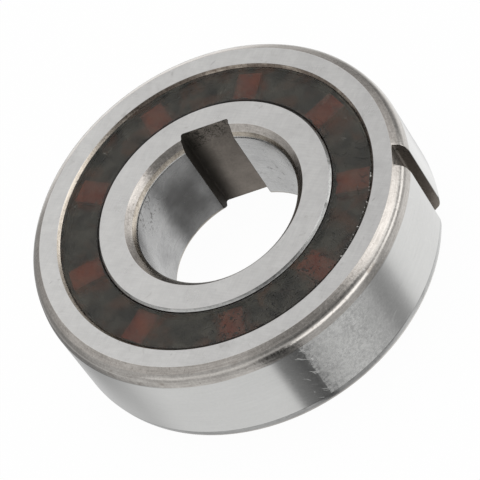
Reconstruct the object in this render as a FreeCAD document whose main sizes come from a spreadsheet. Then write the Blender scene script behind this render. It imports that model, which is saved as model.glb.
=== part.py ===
import FreeCAD, Part
import Sketcher
import math
import os

# Sprag clutch bearing, lying on its rear face.
# The origin is on the axis in the rear face, +Z runs along the axis to the front face,
# and +X points at the middle of the slot in the outer ring. All lengths are millimetres.

Vector = FreeCAD.Vector
Z_AXIS = Vector(0, 0, 1)
# How a sketch's constraints number the points of an edge
START, END, CENTRE = range(1, 4)

SIZES = {
    # Rings, from the bore outwards
    "bore_diameter": 20,
    "inner_wall": 4.575,
    "outer_wall": 4.275,
    "ring_width": 14,
    # Bore edge: a 45 degree chamfer and a steeper lead-in behind it
    "bore_chamfer": 0.7,
    "bore_lead_depth": 0.42,
    "bore_lead_length": 0.55,
    # Outer corner: a low chamfer, wider than deep, and a long taper before the ground cylinder
    "corner_chamfer_width": 1.2,
    "corner_chamfer_depth": 0.75,
    "corner_lead_depth": 0.29,
    "corner_lead_length": 1.4,
    # Edges beside the covers
    "inner_edge_break": 0.18,
    "outer_edge_break": 0.33,
    # Key way in the bore and slot in the outside
    "key_width": 6,
    "key_depth": 1.6,
    "key_angle": 94,
    "slot_width": 3,
    "slot_depth": 1.5,
    "corner_round": 0.3,
    # Balls and their races
    "ball_diameter": 6.35,
    "race_depth": 0.85,
    "race_conformity": 0.52,
    "ball_clearance": 0.02,
    # Balls and sprags take turns round the cage
    "unit_count": 9,
    "sprag_angle": 35,
    # Covers
    "cover_set_back": 0.27,
    "cover_thickness": 0.5,
    "cover_step": 0.22,
    "cover_bead_height": 0.3,
    "cover_bead_depth": 0.14,
    "cover_fit": 0.02,
    "cover_running_gap": 0.1,
    "cover_edge_break": 0.08,
    # Cage
    "cage_radial_gap": 0.25,
    "cage_end_gap": 0.12,
    "cage_rim": 0.65,
    "bar_height": 0.75,
    "bar_width": 3.0,
    "bar_inset": 0.05,
    "ball_pocket_gap": 0.12,
    "sprag_pocket_width": 3.7,
    "sprag_end_gap": 0.1,
    "peg_diameter": 0.8,
    "peg_length": 1.2,
    "peg_fit": 0.03,
    "peg_wall": 0.3,
    # Sprags
    "sprag_thickness": 3,
    "sprag_waist": 2.3,
    "waist_radius": 1.3,
    "cam_radius": 1.7,
    "cam_offset": 0.15,
    "sprag_clearance": 0.025,
    # Leaf springs beside the sprags
    "leaf_thickness": 0.12,
    "leaf_width": 1.0,
    "leaf_end_gap": 0.48,
    "leaf_seat": 0.9,
    "leaf_crest": 1.6,
    "leaf_bow": 0.3,
}

# Sizes that follow from the ones above
WORKED_OUT = {
    "middle": "size.ring_width / 2",
    "bore_radius": "size.bore_diameter / 2",
    "inner_land": "bore_radius + size.inner_wall",
    "ball_radius": "size.ball_diameter / 2",
    "pitch_radius": "inner_land - size.race_depth + ball_radius",
    "outer_land": "pitch_radius + ball_radius - size.race_depth",
    "outer_radius": "outer_land + size.outer_wall",
    "race_radius": "size.race_conformity * size.ball_diameter",
    "inner_race_centre": "pitch_radius - ball_radius - size.ball_clearance + race_radius",
    "outer_race_centre": "pitch_radius + ball_radius + size.ball_clearance - race_radius",
    "cover_seat": "outer_land + size.cover_step",
    "cover_depth": "size.cover_set_back + size.cover_thickness",
    "bead_middle": "size.cover_set_back + size.cover_thickness / 2",
    "cover_outside": "cover_seat - size.cover_fit",
    "cover_inside": "inner_land + size.cover_running_gap",
    "cage_inside": "inner_land + size.cage_radial_gap",
    "cage_outside": "outer_land - size.cage_radial_gap",
    "bar_top": "middle - cover_depth - size.cage_end_gap",
    "rim_top": "bar_top - size.bar_height",
    "sprag_pocket_length": "rim_top - size.cage_rim",
    "sprag_half_length": "sprag_pocket_length - size.sprag_end_gap",
    "leaf_half_length": "sprag_pocket_length - size.leaf_end_gap",
    "unit_angle": "360 / size.unit_count",
    "ball_angle": "size.sprag_angle + unit_angle / 2",
    "outer_cam_reach": "outer_land - size.sprag_clearance - size.cam_radius",
    "inner_cam_reach": "inner_land + size.sprag_clearance + size.cam_radius",
    "outer_cam_centre": "sqrt(outer_cam_reach ^ 2 - size.cam_offset ^ 2)",
    "inner_cam_centre": "sqrt(inner_cam_reach ^ 2 - size.cam_offset ^ 2)",
    "sprag_radius": "(inner_land + outer_land) / 2",
    "peg_radius": "cage_outside - size.peg_wall - size.peg_diameter / 2",
    "peg_offset": "size.sprag_pocket_width / 2 + size.peg_wall + size.peg_diameter / 2",
}


def fill_sheet(doc, name, rows):
    """A spreadsheet with one named cell a row."""
    sheet = doc.addObject("Spreadsheet::Sheet", name)
    for line, (alias, content) in enumerate(rows.items(), 1):
        sheet.set(f"A{line}", alias)
        sheet.set(f"B{line}", str(content))
        sheet.setAlias(f"B{line}", alias)
    doc.recompute()
    return sheet


def new_body(doc, label):
    body = doc.addObject("PartDesign::Body", label)
    body.Label = label
    return body


def origin_part(body, role):
    """One of the planes or axes that the body carries."""
    return next(part for part in body.Origin.OriginFeatures if part.Role == role)


def new_sketch(body, name, plane):
    sketch = body.newObject("Sketcher::SketchObject", name)
    sketch.AttachmentSupport = [(origin_part(body, plane), "")]
    sketch.MapMode = "FlatFace"
    return sketch


def tie(sketch, kind, ends, expression):
    """A dimension of a sketch whose value follows an expression."""
    start = float(sketch.evalExpression(expression))
    number = sketch.addConstraint(Sketcher.Constraint(kind, *ends, start))
    sketch.setExpression(f"Constraints[{number}]", expression)


def hold_point(sketch, geometry, end, x, y):
    """Ties one point of a sketch to two expressions, measured from the sketch's origin."""
    tie(sketch, "DistanceX", (-1, 1, geometry, end), x)
    tie(sketch, "DistanceY", (-1, 1, geometry, end), y)


def arc_between(start, end, centre):
    """The shorter arc from start to end, and whether it runs counter-clockwise."""
    angles = [math.atan2(point.y - centre.y, point.x - centre.x) for point in (start, end)]
    forward = (angles[1] - angles[0]) % (2 * math.pi) < math.pi
    circle = Part.Circle(centre, Z_AXIS, start.distanceToPoint(centre))
    low, high = angles if forward else angles[::-1]
    return Part.ArcOfCircle(circle, low, high if high > low else high + 2 * math.pi), forward


def draw_outline(sketch, corners, arcs=None):
    """A closed outline through corners, each a pair of expressions.

    Its edges are straight, apart from those in arcs, which gives the centre of the arc that
    leaves a corner, under that corner's number. The third word names the side of the centre
    that has to be tied, because the arc's ends tie the other.
    """
    arcs = arcs or {}

    def place(pair):
        return Vector(*(float(sketch.evalExpression(side)) for side in pair))

    places, starts, ends = [place(corner) for corner in corners], [], []
    for number, start in enumerate(places):
        end, forward = places[(number + 1) % len(places)], True
        if number in arcs:
            edge, forward = arc_between(start, end, place(arcs[number][:2]))
        else:
            edge = Part.LineSegment(start, end)
        sketch.addGeometry(edge, False)
        starts.append(START if forward else END)
        ends.append(END if forward else START)
    for number, corner in enumerate(corners):
        following = (number + 1) % len(corners)
        ties = number, ends[number], following, starts[following]
        sketch.addConstraint(Sketcher.Constraint("Coincident", *ties))
        hold_point(sketch, number, starts[number], *corner)
    for number, (x, y, side) in arcs.items():
        tie(sketch, f"Distance{side}", (-1, 1, number, CENTRE), x if side == "X" else y)


def draw_circle(sketch, x, y, radius):
    start = [float(sketch.evalExpression(size)) for size in (x, y, radius)]
    sketch.addGeometry(Part.Circle(Vector(*start[:2]), Z_AXIS, start[2]), False)
    tie(sketch, "Radius", (0,), radius)
    hold_point(sketch, 0, CENTRE, x, y)


def turn_sketch(sketch, angle, height="0"):
    """Turns a sketch on the XY plane about the axis and lifts it to a height."""
    sketch.AttachmentOffset = FreeCAD.Placement(Vector(), FreeCAD.Rotation(Z_AXIS, 1))
    sketch.setExpression("AttachmentOffset.Rotation.Angle", angle)
    sketch.setExpression("AttachmentOffset.Base.z", height)


def spin(body, sketch, kind, name, axis="V_Axis"):
    """A full turn of a section about an axis of its sketch, added (Revolution) or cut away (Groove)."""
    feature = body.newObject(f"PartDesign::{kind}", name)
    feature.Profile = sketch
    feature.ReferenceAxis = (sketch, [axis])
    feature.Angle = 360
    sketch.Visibility = False
    return feature


def cut_along(body, sketch, name, length, upwards=True):
    """Cuts a sketch on an XY plane out of the body, along +Z or -Z."""
    cut = body.newObject("PartDesign::Pocket", name)
    cut.Profile = sketch
    cut.setExpression("Length", length)
    cut.Reversed = upwards
    return cut


def repeat_round_axis(body, name, features, level_sketch):
    """Repeats features once a unit round the axis, which is the normal of a level sketch."""
    pattern = body.newObject("PartDesign::PolarPattern", name)
    pattern.Originals = features
    pattern.Axis = (level_sketch, ["N_Axis"])
    pattern.Angle = 360
    pattern.setExpression("Occurrences", "size.unit_count")
    body.Tip = pattern
    return pattern


def mirrored_in_middle(front):
    """The whole section of a ring from its front half, given as radii and depths below the face."""
    return [(radius, f"size.ring_width - ({depth})") for radius, depth in front] + front[::-1]


def from_middle(side, height):
    """An expression for a height over the middle plane, in front (1) or behind (-1)."""
    return f"out.middle {'+' if side > 0 else '-'} ({height})"


def draw_strip(sketch, near, far, width):
    """A rectangle along a radius, from near to far."""
    half = f"{width} / 2"
    draw_outline(sketch, [(near, f"-{half}"), (far, f"-{half}"), (far, half), (near, half)])


def put_on_pitch(thing, which, distance, angle, height):
    """Binds a placement's base to a distance from the axis, an angle round it and a height."""
    thing.setExpression(f"{which}.Base.x", f"{distance} * cos(({angle}) * 1 deg)")
    thing.setExpression(f"{which}.Base.y", f"{distance} * sin(({angle}) * 1 deg)")
    thing.setExpression(f"{which}.Base.z", height)


def set_in_pocket(body, number):
    """Sets a body whose X runs outwards into the cage pocket of that number."""
    angle = f"size.sprag_angle + {number - 1} * out.unit_angle"
    body.Placement = FreeCAD.Placement(Vector(), FreeCAD.Rotation(Z_AXIS, 1))
    put_on_pitch(body, "Placement", "out.sprag_radius", angle, "0")
    body.setExpression("Placement.Rotation.Angle", angle)


def cut_way(body, name, angle, near, floor, width, inwards):
    """A straight way along Z in a ring, from near to its flat floor, whose two corners are round."""
    sketch = new_sketch(body, f"{name}_outline", "XY_Plane")
    turn_sketch(sketch, angle)
    half, tight = f"{width} / 2", f"({width} / 2 - size.corner_round)"
    turn = f"{floor} {'+' if inwards else '-'} size.corner_round"
    corners = [
        (near, f"-{half}"),
        (turn, f"-{half}"),
        (floor, f"-{tight}"),
        (floor, tight),
        (turn, half),
        (near, half),
    ]
    arcs = {
        1: (turn, f"-{tight}", "X"),
        3: (turn, tight, "X"),
    }
    draw_outline(sketch, corners, arcs)
    return cut_along(body, sketch, name, "size.ring_width")


def make_outer_ring(doc):
    body = new_body(doc, "outer_ring")
    section = new_sketch(body, "outer_ring_section", "XZ_Plane")
    corner = "out.outer_radius - size.corner_lead_depth"
    edge = "out.cover_seat + size.outer_edge_break"
    half_bead = "size.cover_bead_height / 2"
    # The front half of the section as radius and depth below the face, from the outside in
    front = [
        ("out.outer_radius", "size.corner_chamfer_depth + size.corner_lead_length"),
        (corner, "size.corner_chamfer_depth"),
        (f"{corner} - size.corner_chamfer_width", "0"),
        (edge, "0"),
        ("out.cover_seat", "size.outer_edge_break"),
        ("out.cover_seat", f"out.bead_middle - {half_bead}"),
        ("out.cover_seat + size.cover_bead_depth", "out.bead_middle"),
        ("out.cover_seat", f"out.bead_middle + {half_bead}"),
        ("out.cover_seat", "out.cover_depth"),
        ("out.outer_land", "out.cover_depth"),
    ]
    draw_outline(section, mirrored_in_middle(front))
    spin(body, section, "Revolution", "outer_ring_turned")
    race = new_sketch(body, "outer_race_section", "XZ_Plane")
    draw_circle(race, "out.outer_race_centre", "out.middle", "out.race_radius")
    spin(body, race, "Groove", "outer_race")
    outside = "out.outer_radius + size.ring_width"
    floor = "out.outer_radius - size.slot_depth"
    cut_way(body, "slot", "0", outside, floor, "size.slot_width", inwards=True)
    return body


def make_inner_ring(doc):
    body = new_body(doc, "inner_ring")
    section = new_sketch(body, "inner_ring_section", "XZ_Plane")
    chamfer_end = "out.bore_radius + size.bore_lead_depth"
    # The front half of the section as radius and depth below the face, from the bore out
    front = [
        ("out.bore_radius", "size.bore_chamfer + size.bore_lead_length"),
        (chamfer_end, "size.bore_chamfer"),
        (f"{chamfer_end} + size.bore_chamfer", "0"),
        ("out.inner_land - size.inner_edge_break", "0"),
        ("out.inner_land", "size.inner_edge_break"),
    ]
    draw_outline(section, mirrored_in_middle(front))
    spin(body, section, "Revolution", "inner_ring_turned")
    race = new_sketch(body, "inner_race_section", "XZ_Plane")
    draw_circle(race, "out.inner_race_centre", "out.middle", "out.race_radius")
    spin(body, race, "Groove", "inner_race")
    floor = "out.bore_radius + size.key_depth"
    cut_way(body, "key_way", "size.key_angle", "0", floor, "size.key_width", inwards=False)
    return body


def make_cover(doc, label, side):
    """A cover snapped into its seat in the outer ring, in front (side 1) or behind (side -1)."""
    body = new_body(doc, label)
    section = new_sketch(body, f"{label}_section", "XZ_Plane")
    half_bead = "(size.cover_bead_height / 2 - size.cover_fit)"
    top = "size.cover_set_back"
    outline = [
        ("out.cover_inside + size.cover_edge_break", top),
        ("out.cover_outside - size.cover_edge_break", top),
        ("out.cover_outside", f"{top} + size.cover_edge_break"),
        ("out.cover_outside", f"out.bead_middle - {half_bead}"),
        ("out.cover_outside + size.cover_bead_depth", "out.bead_middle"),
        ("out.cover_outside", f"out.bead_middle + {half_bead}"),
        ("out.cover_outside", "out.cover_depth"),
        ("out.cover_inside", "out.cover_depth"),
        ("out.cover_inside", f"{top} + size.cover_edge_break"),
    ]
    draw_outline(section, [(r, from_middle(side, f"out.middle - ({z})")) for r, z in outline])
    spin(body, section, "Revolution", f"{label}_turned")
    return body


def make_cage_half(doc, label, side):
    """Half of the cage. The halves meet in the middle plane, so that balls and sprags can be laid in."""
    body = new_body(doc, label)
    section = new_sketch(body, f"{label}_section", "XZ_Plane")
    outline = [
        ("out.cage_inside", "0"),
        ("out.cage_outside", "0"),
        ("out.cage_outside", "out.rim_top"),
        ("out.cage_inside", "out.rim_top"),
    ]
    draw_outline(section, [(r, from_middle(side, z)) for r, z in outline])
    spin(body, section, "Revolution", f"{label}_ring")

    bar = new_sketch(body, f"{label}_bar_outline", "XY_Plane")
    turn_sketch(bar, "size.sprag_angle", from_middle(side, "out.rim_top"))
    draw_strip(bar, "out.cage_inside + size.bar_inset", "out.cage_outside - size.bar_inset", "size.bar_width")
    bars = body.newObject("PartDesign::Pad", f"{label}_bar")
    bars.Profile = bar
    bars.setExpression("Length", "size.bar_height")
    bars.Reversed = side < 0

    window = new_sketch(body, f"{label}_window_outline", "XY_Plane")
    turn_sketch(window, "size.sprag_angle", "out.middle")
    draw_strip(window, "out.inner_land", "out.outer_land", "size.sprag_pocket_width")
    windows = cut_along(body, window, f"{label}_window", "out.sprag_pocket_length", side > 0)

    # A half disc, spun about the radius that it lies on, cuts the ball's round pocket
    disc = new_sketch(body, f"{label}_ball_outline", "XY_Plane")
    turn_sketch(disc, "out.ball_angle", "out.middle")
    radius = "(out.ball_radius + size.ball_pocket_gap)"
    ends = [(f"out.pitch_radius + {radius}", "0"), (f"out.pitch_radius - {radius}", "0")]
    draw_outline(disc, ends, {0: ("out.pitch_radius", "0", "Y")})
    pockets = spin(body, disc, "Groove", f"{label}_ball_pocket", "H_Axis")

    peg = new_sketch(body, f"{label}_peg_outline", "XY_Plane")
    turn_sketch(peg, "size.sprag_angle", "out.middle")
    if side < 0:
        draw_circle(peg, "out.peg_radius", "out.peg_offset", "size.peg_diameter / 2")
        pegs = body.newObject("PartDesign::Pad", f"{label}_peg")
        pegs.Profile = peg
        pegs.setExpression("Length", "size.peg_length")
    else:
        draw_circle(peg, "out.peg_radius", "out.peg_offset", "size.peg_diameter / 2 + size.peg_fit")
        pegs = cut_along(body, peg, f"{label}_peg_hole", "size.peg_length + size.peg_fit")
    repeat_round_axis(body, f"{label}_round", [bars, windows, pockets, pegs], window)
    return body


def make_ball(doc, number):
    ball = doc.addObject("Part::Sphere", f"ball_{number}")
    ball.Label = f"ball_{number}"
    ball.setExpression("Radius", "out.ball_radius")
    angle = f"out.ball_angle + {number - 1} * out.unit_angle"
    put_on_pitch(ball, "Placement", "out.pitch_radius", angle, "out.middle")
    return ball


def make_sprag(doc, number):
    """A sprag in its own frame: X runs outwards, Y round the bearing. It is set between the lands."""
    label = f"sprag_{number}"
    body = new_body(doc, label)
    # Each end is a cam. Their centres lie to opposite sides, so that the sprag grows taller as it
    # tips one way and wedges between the rings, and lets go as it tips the other way.
    cams = {
        "outer": ("out.outer_cam_centre - out.sprag_radius", "-size.cam_offset"),
        "inner": ("out.inner_cam_centre - out.sprag_radius", "size.cam_offset"),
    }
    for place, centre in cams.items():
        lobe = new_sketch(body, f"{label}_{place}_cam_outline", "XY_Plane")
        turn_sketch(lobe, "0", "out.middle - out.sprag_half_length")
        draw_circle(lobe, *centre, "size.cam_radius")
        cam = body.newObject("PartDesign::Pad", f"{label}_{place}_cam")
        cam.Profile = lobe
        cam.setExpression("Length", "2 * out.sprag_half_length")
    for hand, word in ((1, "leading"), (-1, "trailing")):
        flat = new_sketch(body, f"{label}_{word}_flat_outline", "XY_Plane")
        side = f"{hand} * size.sprag_thickness / 2"
        beyond = f"{hand} * size.sprag_thickness"
        reach = "2 * size.cam_radius"
        draw_outline(flat, [(f"-{reach}", side), (reach, side), (reach, beyond), (f"-{reach}", beyond)])
        cut_along(body, flat, f"{label}_{word}_flat", "size.ring_width")
        waist = new_sketch(body, f"{label}_{word}_waist_outline", "XY_Plane")
        draw_circle(waist, "0", f"{hand} * (size.sprag_waist / 2 + size.waist_radius)", "size.waist_radius")
        cut_along(body, waist, f"{label}_{word}_waist", "size.ring_width")
    set_in_pocket(body, number)
    return body


def make_leaf_spring(doc, number):
    """A bent strip that lies on the wall of a sprag's pocket and bows towards the sprag's waist."""
    label = f"sprag_spring_{number}"
    body = new_body(doc, label)
    outline = new_sketch(body, f"{label}_outline", "YZ_Plane")
    outline.AttachmentOffset = FreeCAD.Placement(Vector(), FreeCAD.Rotation())
    outline.setExpression("AttachmentOffset.Base.z", "-size.leaf_width / 2")
    wall, crest = "-size.sprag_pocket_width / 2", "size.leaf_bow - size.sprag_pocket_width / 2"
    lower = [
        (wall, "-out.leaf_half_length"),
        (wall, "-out.leaf_half_length + size.leaf_seat"),
        (crest, "-size.leaf_crest / 2"),
        (crest, "size.leaf_crest / 2"),
        (wall, "out.leaf_half_length - size.leaf_seat"),
        (wall, "out.leaf_half_length"),
    ]
    points = [(y, f"out.middle + ({z})") for y, z in lower]
    upper = [(f"{y} + size.leaf_thickness", z) for y, z in reversed(points)]
    draw_outline(outline, points + upper)
    strip = body.newObject("PartDesign::Pad", f"{label}_strip")
    strip.Profile = outline
    strip.setExpression("Length", "size.leaf_width")
    set_in_pocket(body, number)
    return body


def check(doc, pieces):
    """Stops before anything is written if a feature failed or a piece is empty or broken."""
    for thing in doc.Objects:
        if "Invalid" in thing.State or "Error" in thing.State:
            raise RuntimeError(f"{thing.Name} failed: {thing.State}")
    for piece in pieces:
        if piece.Shape.isNull() or not piece.Shape.isValid() or len(piece.Shape.Solids) != 1:
            raise RuntimeError(f"{piece.Label} is not one sound solid")


def main():
    doc = FreeCAD.newDocument("sprag_clutch_bearing")
    fill_sheet(doc, "size", SIZES)
    formulas = {alias: f"={formula}" for alias, formula in WORKED_OUT.items()}
    fill_sheet(doc, "out", formulas)
    pieces = [make_outer_ring(doc), make_inner_ring(doc)]
    for word, side in (("front", 1), ("rear", -1)):
        pieces.append(make_cover(doc, f"{word}_cover", side))
        pieces.append(make_cage_half(doc, f"{word}_cage", side))
    for number in range(1, int(SIZES["unit_count"]) + 1):
        pieces.append(make_ball(doc, number))
        pieces.append(make_sprag(doc, number))
        pieces.append(make_leaf_spring(doc, number))
    doc.recompute()
    check(doc, pieces)

    os.makedirs("parts", exist_ok=True)
    for piece in pieces:
        piece.Shape.exportStep(f"parts/{piece.Label}.step")
        print(f"{piece.Label}: {piece.Shape.Volume:.2f} cubic mm")


main()
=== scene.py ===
# %% [markdown]
# A sprag clutch bearing is a ball bearing that turns one way and locks the other way. This one has two
# steel rings, a smoky cover between them on each face, and a cage with nine balls and nine sprags
# inside. Its construction comes as finished solids, at their real size, and this script gives them
# their looks. The solids are loaded first, so that everything below can be set against them. Blender
# works in metres, and the sizes of a bearing read best in millimetres, so one named factor turns one
# into the other.

# %% Load the solids
import math

import bmesh
import bpy
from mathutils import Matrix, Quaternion, Vector


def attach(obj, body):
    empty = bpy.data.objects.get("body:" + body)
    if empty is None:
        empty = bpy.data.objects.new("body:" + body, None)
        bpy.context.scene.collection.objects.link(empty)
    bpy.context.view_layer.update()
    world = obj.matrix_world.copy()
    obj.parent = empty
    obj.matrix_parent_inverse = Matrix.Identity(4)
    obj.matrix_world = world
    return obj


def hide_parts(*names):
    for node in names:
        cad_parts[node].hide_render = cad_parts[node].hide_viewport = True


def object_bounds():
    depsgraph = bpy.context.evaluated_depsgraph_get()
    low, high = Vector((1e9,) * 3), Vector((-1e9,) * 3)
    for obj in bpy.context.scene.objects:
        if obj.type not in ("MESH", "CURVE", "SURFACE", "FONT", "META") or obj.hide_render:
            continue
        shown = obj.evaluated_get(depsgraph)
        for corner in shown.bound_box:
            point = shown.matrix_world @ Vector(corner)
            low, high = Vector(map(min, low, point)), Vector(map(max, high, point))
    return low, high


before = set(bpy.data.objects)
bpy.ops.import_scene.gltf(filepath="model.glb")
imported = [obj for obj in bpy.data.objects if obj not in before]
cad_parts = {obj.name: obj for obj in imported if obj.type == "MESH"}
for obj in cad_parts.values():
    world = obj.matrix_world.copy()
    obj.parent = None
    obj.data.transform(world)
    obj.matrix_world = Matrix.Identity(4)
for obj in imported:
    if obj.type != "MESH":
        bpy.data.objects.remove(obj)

MM = 0.001


def sides_in_mm(box):
    """The three side lengths of a box that is given by two corners."""
    return [round(side / MM, 2) for side in box[1] - box[0]]


cad_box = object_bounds()
print("solids:", len(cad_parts), "size in mm:", sides_in_mm(cad_box))

# %% [markdown]
# The camera comes next, because every later choice is judged through it. It could be placed by eye, but
# a round object tells its camera exactly: the ellipses of the faces, the bore and the outline were
# fitted, and they gave a long lens at 42 cm, looking down at 48 degrees and turned 35 degrees about its
# own line of sight. A long lens keeps the far side nearly as large as the near one.

# %% Camera
# Both places are in metres, in the frame of the solids
CAMERA_PLACE = Vector((0.12469, -0.25488, 0.32427))
CAMERA_AIM = Vector((0.00320, -0.00626, 0.01400))
CAMERA_ROLL = math.radians(-35.25)
FOCAL_PIXELS = 3656.9
IMAGE_PIXELS = 480
SENSOR_WIDTH = 36

lens = bpy.data.cameras.new("studio_camera")
lens.sensor_width = SENSOR_WIDTH
lens.lens = FOCAL_PIXELS / IMAGE_PIXELS * SENSOR_WIDTH
lens.clip_start, lens.clip_end = 0.01, 10
camera = bpy.data.objects.new("studio_camera", lens)
camera.location = CAMERA_PLACE
camera.rotation_mode = "QUATERNION"
level_look = (CAMERA_AIM - CAMERA_PLACE).to_track_quat("-Z", "Y")
camera.rotation_quaternion = level_look @ Quaternion((0, 0, 1), CAMERA_ROLL)
bpy.context.scene.collection.objects.link(camera)
bpy.context.scene.camera = camera
bpy.context.scene.view_settings.view_transform = "Standard"
print("lens in mm:", round(lens.lens, 1), "its right:", camera.rotation_quaternion @ Vector((1, 0, 0)))

# %% [markdown]
# A material is a small computation that runs at every point of a surface. It could be clicked together
# as nodes, but as Python expressions it can be read: this class wraps one output of a node, and
# arithmetic on it adds the Math nodes. Every other kind of node comes from one method, which sets the
# node up first and then fills its sockets with numbers or with other outputs.

# %% Shader values
class Signal:
    """One output of a shader node, which can be used in Python arithmetic."""

    def __init__(self, socket):
        self.socket = socket
        self.tree = socket.id_data

    @staticmethod
    def fill(node, inputs):
        """Gives sockets of a node a number or a colour, or links them to other nodes."""
        for name, value in inputs.items():
            if isinstance(value, Signal):
                node.id_data.links.new(value.socket, node.inputs[name])
            else:
                node.inputs[name].default_value = value

    @staticmethod
    def node(tree, kind, settings=None, inputs=None, output=0):
        """Adds any node: its settings first, then the values or links of its sockets."""
        node = tree.nodes.new(kind)
        for name, value in (settings or {}).items():
            setattr(node, name, value)
        Signal.fill(node, inputs or {})
        return Signal(node.outputs[output])

    def math(self, operation, *others, swapped=False):
        """A Math node of this value and others. Swapped puts this value last."""
        values = [*others, self] if swapped else [self, *others]
        return Signal.node(self.tree, "ShaderNodeMath", {"operation": operation}, dict(enumerate(values)))

    def __add__(self, other):
        return self.math("ADD", other)

    def __sub__(self, other):
        return self.math("SUBTRACT", other)

    def __rsub__(self, other):
        return self.math("SUBTRACT", other, swapped=True)

    def __mul__(self, other):
        return self.math("MULTIPLY", other)

    def __truediv__(self, other):
        return self.math("DIVIDE", other)

    def __pow__(self, other):
        return self.math("POWER", other)

    def __abs__(self):
        return self.math("ABSOLUTE")

    __radd__ = __add__
    __rmul__ = __mul__

    def rise(self, low, high):
        """0 up to low, 1 from high and a smooth way between them. It falls where low is the larger."""
        inputs = {"Value": self, "From Min": low, "From Max": high}
        return Signal.node(self.tree, "ShaderNodeMapRange", {"interpolation_type": "SMOOTHSTEP"}, inputs)

    def mix(self, colour, other):
        """The first colour where this mask is 0, and the other where it is 1."""
        # A Mix node lists its sockets for every kind of data: 6, 7 and output 2 are those for colours
        inputs = {0: self, 6: colour, 7: other}
        return Signal.node(self.tree, "ShaderNodeMix", {"data_type": "RGBA"}, inputs, output=2)

    def siblings(self):
        """All outputs of the node that this one belongs to."""
        return [Signal(socket) for socket in self.socket.node.outputs]


print("arithmetic on a Signal adds nodes for: + - * / ** abs")

# %% [markdown]
# A colour is easiest to choose as it looks on a screen, from 0 to 255. Shaders work with amounts of
# light instead, and the two don't go up in step: half as bright to the eye is only about a fifth of the
# light. So every colour below goes through one small function.

# %% Colours
def paint(red, green, blue):
    """A colour given as it looks on a screen, turned into the light that shaders use."""
    linear = [((level / 255 + 0.055) / 1.055) ** 2.4 for level in (red, green, blue)]
    return (*linear, 1.0)


print("mid grey as light:", round(paint(128, 128, 128)[0], 3))

# %% [markdown]
# The photograph was taken in a white light tent. The part seems to float: its rim mirrors what lies
# below it, light on the left, lighter on the right and darker towards the camera. A floor can't give
# that, so the floor takes part only in what the camera sees and in soft light, and mirrors see the tent
# instead. The tent is the world: white for the camera, an even grey for soft light, and for mirrors a
# grey with brighter and darker sheets in the directions where the steel shows them. Two upright seams
# between sheets make the two dark bands on the rim, and a low light strip in front makes the bright
# line on the softened ridge above them. An environment picture would do the same with less control.

# %% The tent
SOFT_LIGHT = 0.62
TENT_GREY = 0.62
# Each sheet: degrees round the axis as its middle, full and fading half width, the same three for
# degrees up, and what it adds
TENT_SHEETS = {
    "window on the right": (16, 22, 40, 49, 9, 24, 1.12),
    "pale floor on the right": (50, 34, 62, -50, 22, 38, 0.44),
    "pale floor on the left": (-125, 30, 62, -50, 18, 36, 0.27),
    "dark sheet on the right": (66, 13, 32, 6, 6, 17, -0.33),
    "dark sheet on the left": (157, 20, 42, -3, 10, 24, -0.24),
    "shade round the camera": (-52, 26, 60, 58, 14, 28, -0.36),
    "shade under the camera": (-48, 24, 34, 36, 5, 13, -0.20),
    "dark skirt behind": (166, 38, 60, -37, 4, 12, -0.36),
    "pale horizon behind": (117, 10, 20, -19, 7, 15, 0.61),
    "pale sheet behind": (115, 20, 60, 58, 11, 26, 0.30),
    "seam on the left": (-79, 6, 13, -35, 42, 56, -0.60),
    "seam on the right": (-10, 2, 14, -52, 12, 22, -0.25),
    "top of that seam": (-19, 2, 13, -26, 7, 15, -0.26),
    "light strip in front": (-45, 23, 31, 5, 8, 15, 1.3),
    "light strip on the right": (16, 20, 34, 10, 5, 14, 1.2),
    "light strip on the left": (-118, 16, 34, 14, 6, 20, 0.38),
}


def direction(round_axis, up):
    """The direction of length one at some degrees round the axis and some degrees up."""
    round_axis, up = math.radians(round_axis), math.radians(up)
    return math.cos(round_axis) * math.cos(up), math.sin(round_axis) * math.cos(up), math.sin(up)


world = bpy.data.worlds.new("light_tent")
bpy.context.scene.world = world
world.use_nodes = True
world.cycles.sampling_method = "NONE"
towards = Signal.node(world.node_tree, "ShaderNodeTexCoord", output="Generated")


def along(aim):
    """How far a ray of length one reaches along a direction."""
    settings, vectors = {"operation": "DOT_PRODUCT"}, {0: towards, 1: aim}
    return Signal.node(world.node_tree, "ShaderNodeVectorMath", settings, vectors, output="Value")


sine_up = along((0, 0, 1))
degrees_up = sine_up.math("ARCSINE") * math.degrees(1)
# A little more than 1, because straight up this would be 0, and it divides below
level_reach = (1.0001 - sine_up * sine_up) ** 0.5
mirrored = TENT_GREY
for middle, full, fade, middle_up, full_up, fade_up, gain in TENT_SHEETS.values():
    ends = [math.cos(math.radians(width)) for width in (fade, full)]
    sideways = (along(direction(middle, 0)) / level_reach).rise(*ends)
    mirrored = mirrored + sideways * abs(degrees_up - middle_up).rise(fade_up, full_up) * gain

rays = Signal.node(world.node_tree, "ShaderNodeLightPath").siblings()
by_name = {ray.socket.name: ray for ray in rays}
in_mirror, to_camera = by_name["Is Glossy Ray"], by_name["Is Camera Ray"] + by_name["Is Transmission Ray"]
unseen = SOFT_LIGHT * (1 - in_mirror) + mirrored * in_mirror
Signal.fill(world.node_tree.nodes["Background"], {
    "Color": paint(255, 255, 255),
    "Strength": unseen * (1 - to_camera) + to_camera,
})
print("sheets of the tent:", len(TENT_SHEETS))

# %% [markdown]
# The floor is plain and pale. For the camera most of its brightness is its own, so that it reads as the
# white of the photograph, and the rest is lit, which keeps the soft shadow where the part stands. A
# backdrop that curves up behind the part would do as well, but the world is white there anyway. The
# floor lies a hair below the part, because two surfaces in one place would flicker.

# %% Floor
FLOOR_SIZE = 4.0
FLOOR_GAP = 0.01 * MM
FLOOR_GLOW = 0.97

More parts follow.
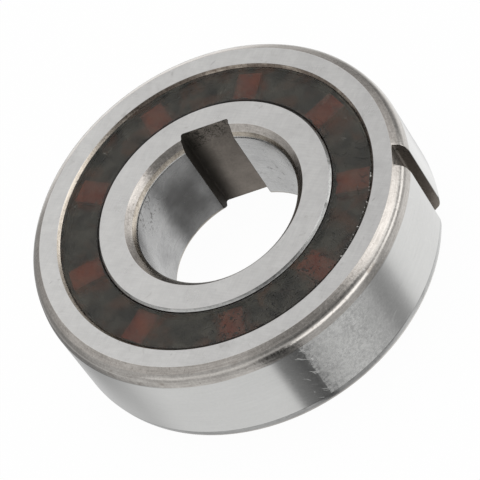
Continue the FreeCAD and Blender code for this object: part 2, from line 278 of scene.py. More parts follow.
floor_mesh = bpy.data.meshes.new("studio_floor")
half_floor = FLOOR_SIZE / 2
corners = [(x * half_floor, y * half_floor, 0) for x, y in ((-1, -1), (1, -1), (1, 1), (-1, 1))]
floor_mesh.from_pydata(corners, [], [(0, 1, 2, 3)])
floor = bpy.data.objects.new("studio_floor", floor_mesh)
floor.location.z = cad_box[0].z - FLOOR_GAP
floor.visible_glossy = False
bpy.context.scene.collection.objects.link(floor)

floor_material = bpy.data.materials.new("studio_floor")
floor_material.use_nodes = True
tree = floor_material.node_tree
lit = tree.nodes["Principled BSDF"]
Signal.fill(lit, {"Base Color": paint(243, 243, 243), "Roughness": 0.9, "Specular IOR Level": 0.0})
glow = Signal.node(tree, "ShaderNodeEmission", inputs={"Color": paint(255, 255, 255)})
camera_ray = Signal.node(tree, "ShaderNodeLightPath", output="Is Camera Ray")
shares = {0: camera_ray * FLOOR_GLOW, 1: Signal(lit.outputs[0]), 2: glow}
surface = Signal.node(tree, "ShaderNodeMixShader", inputs=shares)
Signal.fill(tree.nodes["Material Output"], {"Surface": surface})
floor_mesh.materials.append(floor_material)
print("floor at z =", round(floor.location.z / MM, 3), "mm")

# %% [markdown]
# One wide soft lamp high behind the part gives the light a direction, which the even tent alone lacks.
# It could be a brighter sheet of the tent, but a lamp finds the matt surfaces with less noise. Mirrors
# don't see it, since they have the sheets of the tent already.

# %% Soft lamp
LAMP_PLACE = Vector((-0.20, 0.35, 0.90))
LAMP_SIZE = 0.8
LAMP_WATTS = 3.6

lamp = bpy.data.lights.new("soft_lamp", "AREA")
lamp.shape, lamp.size, lamp.energy = "SQUARE", LAMP_SIZE, LAMP_WATTS
lamp_object = bpy.data.objects.new("soft_lamp", lamp)
lamp_object.location = LAMP_PLACE
lamp_object.rotation_mode = "QUATERNION"
lamp_object.rotation_quaternion = (-LAMP_PLACE).to_track_quat("-Z", "Y")
lamp_object.visible_glossy = False
bpy.context.scene.collection.objects.link(lamp_object)
print("lamp above the floor, in m:", round(LAMP_PLACE.z, 2))

# %% [markdown]
# Patterns on turned and ground steel follow the turning, so most of them are written in the terms of a
# lathe: the distance from the axis, the height and the angle. The angle itself would leave a seam where
# it jumps back to its start. So its cosine and sine stand in for it, as the third and the fourth
# coordinate of the noise. Every pattern is in millimetres of the piece itself, so it moves with it.

# %% Patterns
class Place:
    """Where on a piece a shader is, in millimetres, and the patterns that are written with it."""

    def __init__(self, tree):
        self.tree = tree
        metres = Signal.node(tree, "ShaderNodeTexCoord", output="Object")
        scaling = {"Vector": metres, "Scale": 1 / MM}
        self.point = Signal.node(tree, "ShaderNodeVectorMath", {"operation": "SCALE"}, scaling)
        split = Signal.node(tree, "ShaderNodeSeparateXYZ", inputs={0: self.point})
        self.x, self.y, self.height = split.siblings()
        self.radius = (self.x * self.x + self.y * self.y) ** 0.5
        self.cosine, self.sine = self.x / self.radius, self.y / self.radius

    def past(self, angle):
        """How far a point is past a line from the axis at an angle, in millimetres."""
        angle = math.radians(angle)
        return self.y * math.cos(angle) - self.x * math.sin(angle)

    def sector(self, start, end, soft):
        """1 between two angles under 180 degrees apart, with edges that are soft millimetres wide."""
        return self.past(start).rise(-soft, soft) * self.past(end).rise(soft, -soft)

    def grain(self, scale, detail=2.0, distortion=0.0):
        """Even noise around 0.5, with so many grains a millimetre."""
        inputs = {"Vector": self.point, "Scale": scale, "Detail": detail, "Distortion": distortion}
        return Signal.node(self.tree, "ShaderNodeTexNoise", inputs=inputs)

    def lay(self, across, along, detail=2.0):
        """Noise drawn out round the axis: across lines a millimetre, along lines a radian."""
        axes = {"X": self.radius * across, "Y": self.height * across, "Z": self.cosine * along}
        vector = Signal.node(self.tree, "ShaderNodeCombineXYZ", inputs=axes)
        inputs = {"Vector": vector, "W": self.sine * along, "Scale": 1.0, "Detail": detail}
        return Signal.node(self.tree, "ShaderNodeTexNoise", {"noise_dimensions": "4D"}, inputs)

    def drawn_out(self, lengthwise, crosswise, detail):
        """Noise of two distances, which are scaled beforehand so that one of them changes slowly."""
        vector = Signal.node(self.tree, "ShaderNodeCombineXYZ", inputs={"X": lengthwise, "Y": crosswise})
        inputs = {"Vector": vector, "Scale": 1.0, "Detail": detail}
        return Signal.node(self.tree, "ShaderNodeTexNoise", inputs=inputs)

    def grooves(self, angle, across, along, detail=2.0):
        """Noise drawn out along straight lines at an angle to X, in the plane of the faces."""
        turn, rise = math.cos(math.radians(angle)), math.sin(math.radians(angle))
        lengthwise = self.x * turn + self.y * rise + self.height
        return self.drawn_out(lengthwise * along, (self.y * turn - self.x * rise) * across, detail)

    def hairlines(self, scale, width, limit):
        """Thin crooked lines, where noise crosses its middle, kept where another noise is over a limit."""
        line = abs(self.grain(scale, 0.0) - 0.5).rise(width, 0.0)
        return line * self.grain(scale * 0.6, 1.0, 0.4).rise(limit, limit + 0.04)


print("patterns are scaled by", 1 / MM)

# %% [markdown]
# Every finish starts alike. A Principled shader gets the values that are the same all over, and the
# rest is computed from the place on the piece. Grain and scratches are finer than the mesh, so they go
# into a Bump node, which only tilts the shading. Its depth is in millimetres, as it would be on the
# real steel.

# %% Start of a finish
def bump(height, depth):
    """A normal that is tilted by a height pattern, whose full depth is given in millimetres."""
    inputs = {"Height": height, "Distance": depth * MM, "Strength": 1.0}
    return Signal.node(height.tree, "ShaderNodeBump", inputs=inputs)


def new_finish(name, constants):
    """A material, with the sockets of its shader that stay the same all over."""
    material = bpy.data.materials.new(name)
    material.use_nodes = True
    shader = material.node_tree.nodes["Principled BSDF"]
    Signal.fill(shader, constants)
    return material, shader, Place(material.node_tree)


print("a relief of 0.01 mm in metres:", 0.01 * MM)

# %% [markdown]
# The flat faces of both rings are ground. A single grey would look like plastic: ground steel has a
# fine straight lay, faint clouds, a few smudges and short scratches, and a slightly uneven gloss. The
# lay is in the bump as well, so that it catches light from other sides too. The colour gets a little
# darker towards the side of the slot.

# %% Ground faces
def ground_face():
    material, shader, place = new_finish("ground_face", {"Metallic": 1.0})
    lay = place.grooves(62, 7.0, 0.3) * 0.5 + place.grooves(-24, 5.0, 0.4) * 0.5
    clouds = place.grain(0.22, 3.0)
    mottle = place.grain(1.1, 3.0, 0.4)
    smudges = place.grain(0.7, 4.0, 0.8).rise(0.62, 0.76)
    scratches = place.grooves(35, 3.2, 0.4, 1.0).rise(0.74, 0.78) * place.grain(0.5, 1.0).rise(0.5, 0.6)
    # The colour gets a little darker towards the side of the slot
    light = (lay - 0.5) * 0.6 + (clouds - 0.5) * 0.5 + (mottle - 0.5) * 0.4 + 0.5 - place.x * 0.009
    colour = light.mix(paint(178, 177, 176), paint(226, 225, 223))
    colour = (smudges * 0.3).mix(colour, paint(150, 147, 142))
    colour = (scratches * 0.35).mix(colour, paint(120, 117, 112))
    Signal.fill(shader, {
        "Base Color": colour,
        "Roughness": 0.30 + (clouds - 0.5) * 0.16 + smudges * 0.08,
        "Normal": bump(lay * 0.7 + mottle * 0.3 - scratches, 0.004),
    })
    return material


FINISHES = {"face": ground_face()}
print("made:", FINISHES["face"].name)

# %% [markdown]
# The corners were turned after hardening and never ground. They are a warm grey and grainy, with a lay
# round the axis. The edges have the same finish in other tones: smoother on the long tapers, browner in
# the bore's lead-in and on the edge beside the outer cover seat, and a clean steel grey on the thin rim
# of the inner ring. That edge is lighter and less stained on its left side. Each could be a material of
# its own, but one function for all of them keeps them looking like one piece of turned steel.

# %% Turned corners
def turned(name, dark, bright, stain, stained, roughness, depth=0.008, bright_and_clean=None):
    """A finish between two tones, with a share of it stained in a third outside a clean sector."""
    material, shader, place = new_finish(name, {"Metallic": 1.0})
    lay = place.lay(5.0, 9.0)
    grain = place.grain(3.4, 3.0)
    clouds = place.grain(0.5, 3.0)
    light = (grain - 0.5) * 0.8 + (lay - 0.5) * 0.9 + (clouds - 0.5) * 0.6 + 0.5
    limit = 0.60 - stained * 0.25
    patches = (clouds * 0.6 + place.lay(1.5, 5.0) * 0.4).rise(limit, limit + 0.12)
    specks = place.grain(3.0, 2.0).rise(0.64, 0.74)
    stains = specks * 0.4 + patches * 0.6
    if bright_and_clean:
        cleaned = place.sector(*bright_and_clean, 3.0)
        light = light + cleaned * 0.4
        stains = stains * (1 - cleaned * 0.8)
    Signal.fill(shader, {
        "Base Color": stains.mix(light.mix(paint(*dark), paint(*bright)), paint(*stain)),
        "Roughness": roughness + (grain - 0.5) * 0.16,
        "Normal": bump(grain + lay * 0.6, depth),
    })
    return material


# The edge beside the outer cover seat is lighter and less stained in this sector
LIGHTER_EDGE_SECTOR = 126, 230
# Each: its name, its dark, bright and stained tones, the share that is stained, and its roughness
TURNED = {
    "corner": ("turned_corner", (160, 155, 149), (224, 218, 212), (122, 112, 103), 0.0, 0.24),
    "taper": ("turned_taper", (158, 154, 149), (210, 206, 201), (122, 112, 103), 0.1, 0.18),
    "rear_taper": ("ground_taper", (128, 128, 127), (176, 176, 175), (108, 107, 105), 0.2, 0.16, 0.005),
    "lead_in": ("turned_lead_in", (122, 114, 104), (206, 198, 186), (86, 79, 72), 0.3, 0.27),
    "edge": ("brown_edge", (84, 66, 56), (232, 222, 208), (62, 46, 40), 0.8, 0.28, 0.008, LIGHTER_EDGE_SECTOR),
    "rim": ("clean_rim", (142, 142, 141), (216, 216, 214), (70, 68, 64), 0.3, 0.25),
}
FINISHES |= {finish: turned(*values) for finish, values in TURNED.items()}
print("turned finishes:", list(TURNED))

# %% [markdown]
# The outside was ground round and is the most mirror-like surface. It still isn't chrome: it has a
# faint lay and clouds. On the side towards the camera a patch is rubbed to a mottled satin by handling.
# It starts at a sharp edge with fine slanting scratches beside it, and there the mirrored seam of the
# tent stops short. The patch could be a second material on some of the faces, but its edge would then
# follow the mesh, and a mask in one material can be as crooked as it likes. On the far left the upper
# part is painted darker, a painted shade.

# %% Ground outside
RUBBED_FROM, RUBBED_TO = -67.5, -44
PAINTED_SHADE_FROM, PAINTED_SHADE_TO = -170, -126


def ground_outside():
    material, shader, place = new_finish("ground_outside", {"Metallic": 1.0})
    lay = place.lay(5.0, 6.0)
    mottle = place.grain(2.6, 4.0, 0.3)
    clouds = place.grain(0.16, 2.0)
    blotches = place.grain(0.45, 3.0, 0.6)
    crooked = (place.grain(1.2, 2.0) - 0.5) * 0.9
    beside = place.past(RUBBED_FROM)
    rubbed = (beside + crooked * 0.3).rise(-0.06, 0.12)
    rubbed = rubbed * (place.past(RUBBED_TO) + crooked * 4).rise(3.0, -4.0)
    light = (mottle - 0.5) * (0.2 + rubbed * 2.2) + (lay - 0.5) * 0.2 + (clouds - 0.5) * 0.25 + 0.5
    # The patch is lightest in a band 4 mm past its sharp edge
    light = light + ((blotches - 0.5) * 1.3 + abs(beside - 4.0).rise(4.5, 0.5) * 0.35 - 0.08) * rubbed
    # The strokes slant across that edge. The 7 takes their gaps from another place in the noise
    lengthwise, crosswise = beside - place.height * 1.4, beside * 1.4 + place.height
    strokes = abs(place.drawn_out(lengthwise * 0.22, crosswise * 1.1, 0.0) - 0.5).rise(0.04, 0.0)
    strokes = strokes * place.drawn_out(lengthwise * 0.35, crosswise * 0.9 + 7, 1.0).rise(0.50, 0.62)
    strokes = strokes * abs(beside + 0.4).rise(2.2, 0.5)
    scratches = strokes * 0.6 + place.hairlines(0.5, 0.006, 0.6) * 0.3
    # Painted shade: on the far left the outside is painted darker towards its upper part
    painted_shade = place.sector(PAINTED_SHADE_FROM, PAINTED_SHADE_TO, 3.5) * place.height.rise(3.0, 12.5)
    colour = light.mix(paint(180, 180, 179), paint(222, 222, 220))
    colour = (painted_shade * 0.7).mix(colour, paint(110, 110, 108))
    Signal.fill(shader, {
        "Base Color": (scratches * 0.6).mix(colour, paint(242, 242, 240)),
        "Roughness": 0.12 + rubbed * 0.17 + (mottle - 0.5) * (0.1 + rubbed * 0.4) + scratches * 0.3,
        "Normal": bump(mottle * (0.15 + rubbed * 2.0) + lay * 0.3 + scratches, 0.006),
    })
    return material


FINISHES["outside"] = ground_outside()
print("made:", FINISHES["outside"].name)

# %% [markdown]
# The bore is ground too. Its tones are painted darker than the outside's, a painted shade for a bore
# that mostly mirrors itself and old oil, and it is painted lighter on the side towards the slot, a
# painted reflection. Beside the key way lies a painted dark reflection, soft like a smudge, and past that
# a field of small pits near the front. Such marks could be painted on a flattened copy of the surface.
# Here each is noise between two lines from the axis, so it needs no picture and stays sharp from close
# by.

# %% Ground bore
DARK_REFLECTION_FROM, DARK_REFLECTION_TO = 112, 146
BORE_PITS_FROM, BORE_PITS_TO = 146, 172


def ground_bore():
    material, shader, place = new_finish("ground_bore", {"Metallic": 1.0})
    lay = place.lay(5.0, 5.0)
    grain = place.grain(2.2, 3.0)
    clouds = place.grain(0.35, 3.0, 0.4)
    wander = (place.grain(0.5, 3.0) - 0.5) * 2.2
    # A painted dark reflection beside the key way, strongest part way into the bore
    past_start = (place.past(DARK_REFLECTION_FROM) + wander).rise(-1.6, 2.2)
    before_end = (place.past(DARK_REFLECTION_TO) + wander).rise(1.6, -2.4)
    deep = (place.height + wander).rise(13.4, 7.5) * place.height.rise(-1.0, 5.5) * 0.75 + 0.25
    painted_dark_reflection = past_start * before_end * deep
    stains = place.grain(0.8, 3.0, 0.8).rise(0.58, 0.72) * place.x.rise(0.0, 4.0)
    pitted = place.sector(BORE_PITS_FROM, BORE_PITS_TO, 0.8) * place.height.rise(8.0, 11.0)
    pits = place.grain(2.4, 2.0, 0.8).rise(0.57, 0.65) * (pitted * 0.9 + 0.1)
    light = (lay - 0.5) * 0.2 + (clouds - 0.5) * 0.5 + (grain - 0.5) * 0.2 + 0.4
    # Painted reflection: the bore is painted lighter towards the side of the slot
    light = light + place.x * 0.02 + place.x.rise(3.8, 7.0) * 0.35
    # Painted shade: these tones are darker than the outside's, for a bore that mostly mirrors itself
    colour = light.mix(paint(133, 133, 133), paint(232, 232, 231))
    colour = (painted_dark_reflection * 0.8).mix(colour, paint(72, 71, 70))
    Signal.fill(shader, {
        "Base Color": (pits * 0.7 + stains * 0.4).mix(colour, paint(76, 73, 70)),
        "Roughness": 0.26 + (clouds - 0.5) * 0.2,
        "Normal": bump(lay + grain * 0.4 - pits * 1.5, 0.005),
    })
    return material


FINISHES["bore"] = ground_bore()
print("made:", FINISHES["bore"].name)

# %% [markdown]
# The key way and the slot were milled and then hardened with the ring, and the scale was never taken
# off. It is dark brown and dull, with coal-black specks where the tool entered, near the front face. The
# floor of the key way is painted darker beside one wall, a painted shade. One finish serves both ways.
# It isn't quite a metal, because scale hides a part of the steel.

# %% Milled ways
KEY_WAY_ANGLE = 94


def milled_way():
    material, shader, place = new_finish("milled_way", {"Metallic": 0.85})
    grain = place.grain(3.4, 3.0)
    clouds = place.grain(0.5, 3.0)
    light = (grain - 0.5) * 0.9 + (clouds - 0.5) * 1.1 + 0.7 - place.height.rise(1.0, 12.0) * 0.4
    colour = light.mix(paint(104, 98, 91), paint(154, 146, 138))
    near_front = place.height.rise(9.6, 13.2)
    specks = place.grain(2.2, 3.0, 1.4).rise(0.48, 0.58) * near_front
    # Painted shade: darker and rougher beside one wall of the key way
    shade = place.past(KEY_WAY_ANGLE).rise(0.2, 3.1)
    Signal.fill(shader, {
        "Base Color": (specks * 0.85 + shade * 0.8).math("MINIMUM", 0.9).mix(colour, paint(46, 44, 39)),
        "Roughness": 0.5 + (grain - 0.5) * 0.3 + shade * 0.3,
        "Normal": bump(grain, 0.03),
    })
    return material


FINISHES["way"] = milled_way()
print("made:", FINISHES["way"].name)

# %% [markdown]
# The seats of the covers and the races inside are machined steel under a film of grease. They are
# hardly seen, apart from a thin warm line between the outer ring's face and the cover. A plain colour
# would do inside, but that line would look drawn with a pen, so its tone is uneven too.

# %% Oiled seats
def oiled_seat():
    material, shader, place = new_finish("oiled_seat", {"Metallic": 1.0})
    lay = place.lay(5.0, 8.0)
    grain = place.grain(3.5, 3.0)
    light = (lay - 0.5) * 0.6 + (grain - 0.5) * 0.8 + 0.5
    Signal.fill(shader, {
        "Base Color": light.mix(paint(120, 104, 84), paint(214, 200, 182)),
        "Roughness": 0.32 + (grain - 0.5) * 0.2,
        "Normal": bump(grain, 0.01),
    })
    return material


FINISHES["seat"] = oiled_seat()
print("made:", FINISHES["seat"].name)

# %% [markdown]
# The solids of the rings have knife-sharp edges, and a real edge is never sharp: the small round on it
# is what catches a line of light. A bevel modifier would round every edge alike, so the rings get new
# meshes here instead, from the same section, spun round the axis. Each corner of the section has its
# own round. It is written as an arc between the two sides that meet there.

# %% Round the corners of a section
ARC_STEPS = 3


def round_corners(corners):
    """A closed outline of (radius, height, finish), from corners that also have a round each."""
    outline = []
    # Sides point from a corner to its neighbours, and ends from the centre of its arc to the arc's ends
    for number, (radius, height, size, finish) in enumerate(corners):
        corner = Vector((radius, height))
        if not size:
            outline.append((radius, height, finish))
            continue
        before, after = corners[number - 1], corners[(number + 1) % len(corners)]
        sides = [(Vector(side[:2]) - corner).normalized() for side in (before, after)]
        half_angle = sides[0].angle(sides[1]) / 2
        centre = corner + (sides[0] + sides[1]).normalized() * size / math.sin(half_angle)
        ends = [(corner + side * size / math.tan(half_angle) - centre).normalized() for side in sides]
        for step in range(ARC_STEPS + 1):
            x, y = centre + size * ends[0].slerp(ends[1], step / ARC_STEPS)
            outline.append((x, y, finish if step == ARC_STEPS else before[3]))
    return outline


print("points on a corner's round:", ARC_STEPS + 1)

# %% [markdown]
# The columns of that mesh bend round the slot and the key way. Where the section crosses one, they
# follow its lip, its wall, the round in its corner and its floor, so the cut is part of one clean skin
# and needs no boolean. A way is described in its own frame: x along its middle line and y across it.
# Its side is 1 where it is cut from the outside and -1 where it is cut from the bore, and its rim is
# the radius of that surface. Its floor is how far the floor is from the axis, its half is half its
# width, its turn is the round in its corner, and its lip is how far the broken edge reaches.

# %% Edge of a way
TURN_STEPS = 5
LEAST_CUT = 0.1


def is_cut(radius, way):
    """Whether a ring has to be cut at one radius, because the way reaches into it there."""
    return way["side"] * (radius - way["floor"]) > LEAST_CUT


def way_edge(radius, way):
    """Half of a way at one radius of its ring, from the lip down to the end of the floor."""
    side, half, turn, lip = (way[name] for name in ("side", "half", "turn", "lip"))
    centre = Vector((way["floor"] + side * turn, half - turn))

    def on_turn(angle):
        return centre + turn * Vector((-side * math.sin(angle), math.cos(angle)))

    wall = math.sqrt(radius**2 - half**2)
    if side * (wall - centre.x) > lip:
        start, below_lip = 0.0, Vector((wall - side * lip, half))
        top = half
    else:
        # The ring's circle meets the round in the corner and not the wall
        cosine = (radius**2 - centre.length_squared - turn**2) / (2 * turn * centre.length)
        start = max(0.0, math.acos(cosine) - math.atan2(centre.x, centre.y))
        top = on_turn(start).y
        start += lip / turn
        below_lip = on_turn(start)
    above_lip = Vector((math.sqrt(radius**2 - (top + lip) ** 2), top + lip))
    quarter = math.pi / 2
    corner = [on_turn(max(start, step / TURN_STEPS * quarter)) for step in range(TURN_STEPS + 1)]
    return [above_lip, below_lip, *corner]


print("points on half a way's edge:", TURN_STEPS + 3)

# %% [markdown]
# Every row of the mesh needs as many columns as the next one, also where the section passes below the
# floor of a way. Nothing is cut there, so the columns of the way stand evenly on the ring's own circle
# instead. The other columns stand about a degree apart round the rest of the ring.

# %% Columns round a ring
COLUMNS = 360
FLOOR_STEPS = 6
ACROSS = 2 * (TURN_STEPS + 3) + FLOOR_STEPS - 1


def columns_at(radius, way):
    """Where every column stands at one radius: across the way first, then round the rest."""
    if is_cut(radius, way):
        near = way_edge(radius, way)
        floor_end = near[-1]
        steps = [1 - 2 * step / FLOOR_STEPS for step in range(1, FLOOR_STEPS)]
        middle = [Vector((floor_end.x, floor_end.y * step)) for step in steps]
        across = near + middle + [Vector((x, -y)) for x, y in reversed(near)]
        first = math.atan2(near[0].y, near[0].x)
    else:
        first = math.asin((way["half"] + way["lip"]) / way["rim"])
        angles = [first * (1 - 2 * step / (ACROSS - 1)) for step in range(ACROSS)]
        across = [radius * Vector((math.cos(angle), math.sin(angle))) for angle in angles]
    turns = [-first - (math.tau - 2 * first) * step / COLUMNS for step in range(1, COLUMNS)]
    rest = [radius * Vector((math.cos(angle), math.sin(angle))) for angle in turns]
    cosine, sine = math.cos(way["angle"]), math.sin(way["angle"])
    return [(x * cosine - y * sine, x * sine + y * cosine) for x, y in across + rest]


print("columns round a ring:", ACROSS + COLUMNS - 1)

# %% [markdown]
# Spinning makes a row of points for each point of the section and joins each row with the next one. A
# Screw modifier spins a section too, but its columns are all alike and can't bend round a way. The
# faces are shaded smooth. Left alone, that would make the flat faces look pillowy next to the small
# rounds, so edges over 19 degrees stay sharp, and a Weighted Normal modifier lets the large faces
# decide the shading: they stay flat, and the rounds take up the whole turn. The limit lies between the
# steps of a round and the turn at the lips of the ways, so the ring beside a lip keeps its own shading.
# The lip of the slot is bright, so its milled finish starts one column later than that of the key way.

# %% Spin a section
SHARP_DEGREES = 19
MERGE_WITHIN = 0.0001


def spin(name, section, way):
    """A ring as a mesh object from its section, a list of (radius, height, finish)."""
    used = sorted({finish for _, _, finish in section} | {"way"})
    mesh = bpy.data.meshes.new(name)
    for finish in used:
        mesh.materials.append(FINISHES[finish])
    first_milled, end_milled = way["milled_from"], ACROSS - 1 - way["milled_from"]
    skin = bmesh.new()
    rows, cut = [], []
    for radius, height, _ in section:
        places = columns_at(radius, way)
        rows.append([skin.verts.new((x * MM, y * MM, height * MM)) for x, y in places])
        cut.append(is_cut(radius, way))
    for row, (_, _, finish) in enumerate(section):
        after = (row + 1) % len(section)
        for column in range(len(rows[row])):
            beside = (column + 1) % len(rows[row])
            corners = rows[row][column], rows[row][beside], rows[after][beside], rows[after][column]
            face = skin.faces.new(corners)
            milled = cut[row] and cut[after] and first_milled <= column < end_milled
            face.material_index = used.index("way" if milled else finish)
            face.smooth = True
    bmesh.ops.remove_doubles(skin, verts=skin.verts, dist=MERGE_WITHIN * MM)
    bmesh.ops.recalc_face_normals(skin, faces=skin.faces)
    skin.to_mesh(mesh)
    skin.free()
    mesh.set_sharp_from_angle(angle=math.radians(SHARP_DEGREES))
    ring = bpy.data.objects.new(name, mesh)
    bpy.context.scene.collection.objects.link(ring)
    shading = ring.modifiers.new("flat_faces_stay_flat", "WEIGHTED_NORMAL")
    shading.keep_sharp = True
    print(name, "faces:", len(mesh.polygons))
    return ring


print("edges stay sharp from", SHARP_DEGREES, "degrees")

# %% [markdown]
# The section of a bearing ring is the same on both faces. So each ring's list gives only its front
# half, from its outer or bore side to its race, as radius, depth below the face, the round of the
# corner, and the finish of the stretch that follows. The ball race is one arc in the middle. The rear
# taper was ground cleaner than the front one, so its finish has another name.

# %% Sections of the rings
WIDTH = 14.0
PITCH_RADIUS = 16.9
BALL_RADIUS = 3.175
BALL_PLAY = 0.02
RACE_TO_BALL = 1.04
RACE_RADIUS = RACE_TO_BALL * BALL_RADIUS
RACE_SHIFT = RACE_RADIUS - BALL_RADIUS - BALL_PLAY
RACE_STEPS = 12
REAR_FINISHES = {"taper": "rear_taper"}


def whole_section(front, side, middle_finish):
    """The closed section from its front half and the race, which opens to the other side."""
    ahead = [(radius, WIDTH - depth, size, finish) for radius, depth, size, finish in front]
    finishes = [middle_finish] + [finish for _, _, _, finish in front]
    finishes = [REAR_FINISHES.get(finish, finish) for finish in finishes]
    behind = [(*corner[:3], finish) for corner, finish in zip(front, finishes)]
    centre = PITCH_RADIUS - side * RACE_SHIFT
    half = math.acos(side * (front[-1][0] - centre) / RACE_RADIUS)
    race = []
    for step in range(RACE_STEPS + 1):
        angle = half * (1 - 2 * step / RACE_STEPS)
        radius = centre + side * RACE_RADIUS * math.cos(angle)
        race.append((radius, WIDTH / 2 + RACE_RADIUS * math.sin(angle), 0, "seat"))
    return round_corners(ahead + race + behind[::-1])


print("race radius in mm:", round(RACE_RADIUS, 3))

# %% [markdown]
# The outer ring has a low chamfer at its corner, then a long taper to the ground cylinder, and the
# softened ridge between them is a bright line in the photograph. On its inside come a broken edge, the
# seat of the cover with its snap groove, and the land that the sprags wedge on. One more point near the
# chamfer's inner edge lets the slot start right there.

# %% Outer ring
OUTER_RADIUS = 23.5
CORNER_WIDTH, CORNER_DEPTH = 1.2, 0.75
TAPER_DEPTH, TAPER_LENGTH = 0.29, 1.4
EDGE_BREAK = 0.33
COVER_SEAT, COVER_DEPTH = 19.445, 0.77
GROOVE_MIDDLE, GROOVE_HALF, GROOVE_DEPTH = 0.52, 0.15, 0.14
OUTER_LAND = 19.225
SLOT_WIDTH, SLOT_DEPTH = 3.0, 1.5
SLOT_START = 0.1
WAY_ROUND = 0.3
TAPER_ROUND, RIDGE_ROUND = 0.8, 1.3
FACE_ROUND, EDGE_ROUND = 0.05, 0.04

ridge_radius = OUTER_RADIUS - TAPER_DEPTH
face_end = ridge_radius - CORNER_WIDTH
outer_front = [
    (OUTER_RADIUS, CORNER_DEPTH + TAPER_LENGTH, TAPER_ROUND, "taper"),
    (ridge_radius, CORNER_DEPTH, RIDGE_ROUND, "corner"),
    (face_end + SLOT_START * CORNER_WIDTH, SLOT_START * CORNER_DEPTH, 0, "corner"),
    (face_end, 0, FACE_ROUND, "face"),
    (COVER_SEAT + EDGE_BREAK, 0, EDGE_ROUND, "edge"),
    (COVER_SEAT, EDGE_BREAK, EDGE_ROUND, "seat"),
    (COVER_SEAT, GROOVE_MIDDLE - GROOVE_HALF, 0, "seat"),
    (COVER_SEAT + GROOVE_DEPTH, GROOVE_MIDDLE, 0, "seat"),
    (COVER_SEAT, GROOVE_MIDDLE + GROOVE_HALF, 0, "seat"),
    (COVER_SEAT, COVER_DEPTH, 0, "seat"),
    (OUTER_LAND, COVER_DEPTH, 0, "seat"),
]
slot = {
    "side": 1,
    "angle": 0.0,
    "half": SLOT_WIDTH / 2,
    "floor": OUTER_RADIUS - SLOT_DEPTH,
    "turn": WAY_ROUND,
    "lip": 0.05,
    "rim": OUTER_RADIUS,
    "milled_from": 1,
}
outer_ring = spin("finished_outer_ring", whole_section(outer_front, 1, "outside"), slot)
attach(outer_ring, "outer_body")
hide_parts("outer_ring")

# %% [markdown]
# The inner ring has the bore with a short lead-in and a chamfer, the flat face, and a broken edge
# beside the cover. Its key way is twice as wide as the slot and is cut from the bore outwards.

# %% Inner ring
BORE_RADIUS = 10.0
LEAD_IN_DEPTH, LEAD_IN_LENGTH = 0.42, 0.55
BORE_CHAMFER = 0.7
INNER_FACE_END = 14.3
INNER_LAND, RIM_DEPTH = 14.575, 0.3
KEY_WIDTH, KEY_DEPTH = 6.0, 1.6
BORE_ROUND = 0.5

chamfer_start = BORE_RADIUS + LEAD_IN_DEPTH
inner_front = [
    (BORE_RADIUS, BORE_CHAMFER + LEAD_IN_LENGTH, BORE_ROUND, "lead_in"),
    (chamfer_start, BORE_CHAMFER, BORE_ROUND, "corner"),
    (chamfer_start + BORE_CHAMFER, 0, FACE_ROUND, "face"),
    (INNER_FACE_END, 0, EDGE_ROUND, "rim"),
    (INNER_LAND, RIM_DEPTH, EDGE_ROUND, "seat"),
]
key_way = {
    "side": -1,
    "angle": math.radians(KEY_WAY_ANGLE),
    "half": KEY_WIDTH / 2,
    "floor": BORE_RADIUS + KEY_DEPTH,
    "turn": WAY_ROUND,
    "lip": 0.08,
    "rim": BORE_RADIUS,
    "milled_from": 0,
}
inner_ring = spin("finished_inner_ring", whole_section(inner_front, -1, "bore"), key_way)
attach(inner_ring, "inner_body")
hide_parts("inner_ring")

# %% [markdown]
# Each cover is a ring of smoky plastic. It could be made of glass with a dark volume, which would need
# many more rays. It is a thin dark skin that lets part of the light through instead, so the bars of the
# cage show as soft reddish marks, and they move with the cage when the bearing turns. The surface has
# brown clouds, fine scratches and pits, uneven black lines at both edges, and a few wet squiggles of
# grease on the side towards the slot. Near the outer edge on that side a few white glints are painted
# highlights.

# %% Smoky covers
RUNNING_GAP, COVER_FIT = 0.1, 0.02
COVER_INSIDE = INNER_LAND + RUNNING_GAP
COVER_OUTSIDE = COVER_SEAT - COVER_FIT
WET_FROM, WET_TO = -75, 30
COVER_PITS_FROM, COVER_PITS_TO = -100, -35
GLINTS_FROM, GLINTS_TO = -50, 0


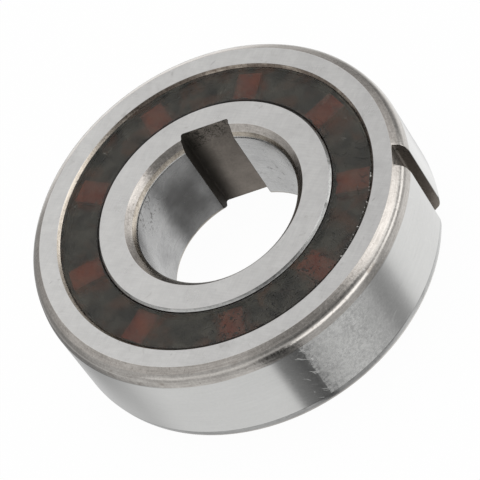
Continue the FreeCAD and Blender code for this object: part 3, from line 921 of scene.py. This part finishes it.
def smoky_cover():
    material, shader, place = new_finish("smoky_cover", {"Metallic": 0.0})
    clouds = place.grain(0.45, 4.0, 0.5)
    brown = place.grain(0.32, 3.0, 0.8).rise(0.47, 0.68)
    grain = place.grain(1.8, 4.0)
    uneven = place.grain(0.8, 3.0)
    scratches = place.hairlines(0.9, 0.012, 0.58)
    wet = place.sector(WET_FROM, WET_TO, 3.0)
    squiggles = place.hairlines(0.42, 0.022, 0.53) * wet
    pitted = place.sector(COVER_PITS_FROM, COVER_PITS_TO, 3.0) * 0.8 + 0.2
    pits = place.grain(2.0, 2.0, 0.3).rise(0.61, 0.66) * pitted
    inner_edge = place.radius + (uneven - 0.5) * (wet * 1.6 + 0.9)
    inner_line = inner_edge.rise(COVER_INSIDE + 0.26, COVER_INSIDE + 0.10)
    outer_edge = place.radius + (uneven - 0.5) * 0.6
    outer_line = outer_edge.rise(COVER_OUTSIDE - 0.14, COVER_OUTSIDE - 0.04)
    black = (pits * 0.8 + squiggles * 0.7 + inner_line * 0.8 + outer_line * 0.7).math("MINIMUM", 1.0)
    # Painted highlights: white glints near the outer edge on the side towards the slot
    at_edge = place.radius.rise(COVER_OUTSIDE - 0.225, COVER_OUTSIDE - 0.125)
    painted_glints = place.grain(3.2, 2.0).rise(0.60, 0.68) * place.sector(GLINTS_FROM, GLINTS_TO, 2.0) * at_edge
    colour = (clouds * 0.8 + grain * 0.2).rise(0.25, 0.75).mix(paint(44, 45, 42), paint(86, 84, 76))
    colour = (brown * 0.55).mix(colour, paint(92, 66, 52))
    colour = (scratches * 0.4).mix(colour, paint(128, 126, 118))
    Signal.fill(shader, {
        "Base Color": painted_glints.mix(black.mix(colour, paint(13, 12, 11)), paint(206, 204, 200)),
        "Alpha": 0.46 + (clouds - 0.5) * 0.2 + black * 0.5 + (scratches + painted_glints) * 0.2,
        "Roughness": 0.32 + (grain - 0.5) * 0.15 - squiggles * 0.15,
        "Normal": bump(clouds * 0.15 + grain * 0.1 - pits + squiggles, 0.05),
    })
    return material


def dress(nodes, material):
    """Gives CAD nodes a finish in place of their plain one."""
    for node in nodes:
        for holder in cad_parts[node].material_slots:
            holder.material = material
    print(material.name, "on", len(nodes), "nodes")


dress(["front_cover", "rear_cover"], smoky_cover())

# %% [markdown]
# The cage is moulded of deep red plastic. Nine raised bars reach up to the cover on each side, and only
# their tops are bright enough to show through it. Everything deeper is in grease and shadow, and the
# colour is painted darker from the tops down and away from each bar, partly for grease that has crept
# up and partly as painted shade. Stripes painted on the cover would look the same, but they would stay
# behind when the cage turns. The angle from the nearest bar comes from wrapping the angle round the axis
# nine times.

# %% Cage
UNITS = 9
END_GAP, BAR_HEIGHT = 0.12, 0.75
MIDDLE = WIDTH / 2
BAR_TOP = MIDDLE - COVER_DEPTH - END_GAP
RIM_TOP = BAR_TOP - BAR_HEIGHT
BAR_ANGLE = 35
BAR_HALF = 1.5


def cage_plastic():
    material, shader, place = new_finish("cage_plastic", {"Metallic": 0.0})
    grain = place.grain(1.6, 3.0, 0.5)
    clouds = place.grain(0.6, 3.0)
    wander = (place.grain(0.9, 3.0) - 0.5) * 1.2
    angle = place.y.math("ARCTAN2", place.x) - math.radians(BAR_ANGLE)
    from_bar = angle.math("WRAP", math.pi / UNITS, -math.pi / UNITS)
    across = abs(from_bar.math("SINE")) * place.radius + wander
    # Painted shade with grease: the red is painted darker lower down and away from each bar
    above_rim = abs(place.height - MIDDLE).rise(RIM_TOP + 0.1, BAR_TOP - 0.05) * 0.25 + 0.75
    outside_bars = abs(place.height - MIDDLE).rise(RIM_TOP - 0.3, RIM_TOP - 0.1)
    bright_and_clean = above_rim * outside_bars * across.rise(BAR_HALF + 1.1, BAR_HALF - 0.9)
    red = (grain * 0.5 + clouds * 0.5).mix(paint(172, 60, 30), paint(240, 104, 62))
    Signal.fill(shader, {
        "Base Color": bright_and_clean.mix(paint(38, 26, 22), red),
        "Roughness": 0.42 + (grain - 0.5) * 0.2,
        "Normal": bump(grain, 0.03),
    })
    return material


dress(["front_cage", "rear_cage"], cage_plastic())

# %% [markdown]
# Balls, sprags and springs are hidden by the covers. Each still gets a finish of its own kind of steel,
# because the covers can be taken off the model: mirror-like for the balls, honed with a lay along the
# width for the sprags, and blued for the springs.

# %% Steel inside
def inside_steel(name, dark, light, roughness, scale):
    material, shader, place = new_finish(name, {"Metallic": 1.0})
    lay = place.grain(scale, 3.0)
    streaks = place.grooves(20, scale * 2, scale * 0.2)
    tone = (lay - 0.5) * 0.6 + (streaks - 0.5) * 0.6 + 0.5
    Signal.fill(shader, {
        "Base Color": tone.mix(dark, light),
        "Roughness": roughness + (lay - 0.5) * 0.1,
        "Normal": bump(streaks, 0.003),
    })
    return material


numbers = range(1, UNITS + 1)
ball_steel = inside_steel("ball_steel", paint(186, 188, 190), paint(220, 221, 222), 0.08, 0.6)
dress([f"ball_{number}" for number in numbers], ball_steel)
sprag_steel = inside_steel("sprag_steel", paint(150, 148, 144), paint(196, 194, 190), 0.24, 2.0)
dress([f"sprag_{number}" for number in numbers], sprag_steel)
spring_steel = inside_steel("spring_steel", paint(92, 98, 110), paint(150, 156, 166), 0.28, 3.0)
dress([f"sprag_spring_{number}" for number in numbers], spring_steel)
